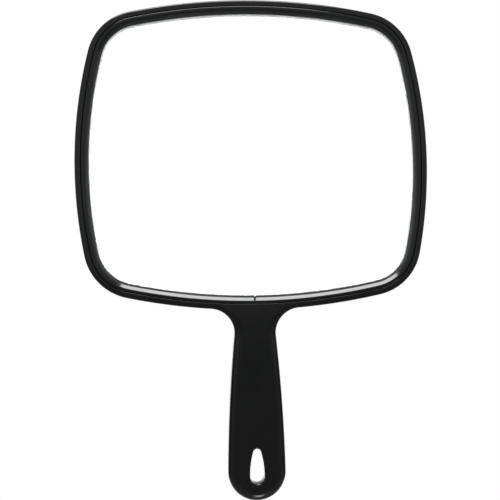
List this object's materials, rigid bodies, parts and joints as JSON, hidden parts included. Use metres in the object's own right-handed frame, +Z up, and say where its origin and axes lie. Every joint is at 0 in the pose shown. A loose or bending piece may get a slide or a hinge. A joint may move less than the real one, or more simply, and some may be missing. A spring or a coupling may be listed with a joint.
{
  "type": "hand mirror",
  "caption": "Rigid hand mirror with a wide, rounded rectangular head, a glossy plastic frame with an integral handle, and a teardrop hanging hole near the handle's end.",
  "frame": {"origin": "centre of the hand's grip on the handle's axis, halfway through the handle's thickness", "axes": "+Z up along the handle towards the head, +Y out of the back, so the glass faces -Y, and +X to the right as seen by someone who looks into the glass"},
  "size_m": [0.2288, 0.014, 0.3239],
  "materials": {
    "frame_plastic": "gloss",
    "cover_plastic": "gloss",
    "bezel_plastic": "gloss",
    "clear_glass": "polished",
    "silvering": "polished",
    "foam": "matte",
    "tape": "matte"
  },
  "bodies": {
    "root": {"front_frame": "frame_plastic", "rear_cover": "cover_plastic", "bezel_ring": "bezel_plastic", "mirror_glass": "clear_glass", "silver_coating": "silvering", "foam_backing": "foam", "tape_pad_upper_left": "tape", "tape_pad_upper_right": "tape", "tape_pad_lower_left": "tape", "tape_pad_lower_right": "tape"}
  },
  "joints": []
}
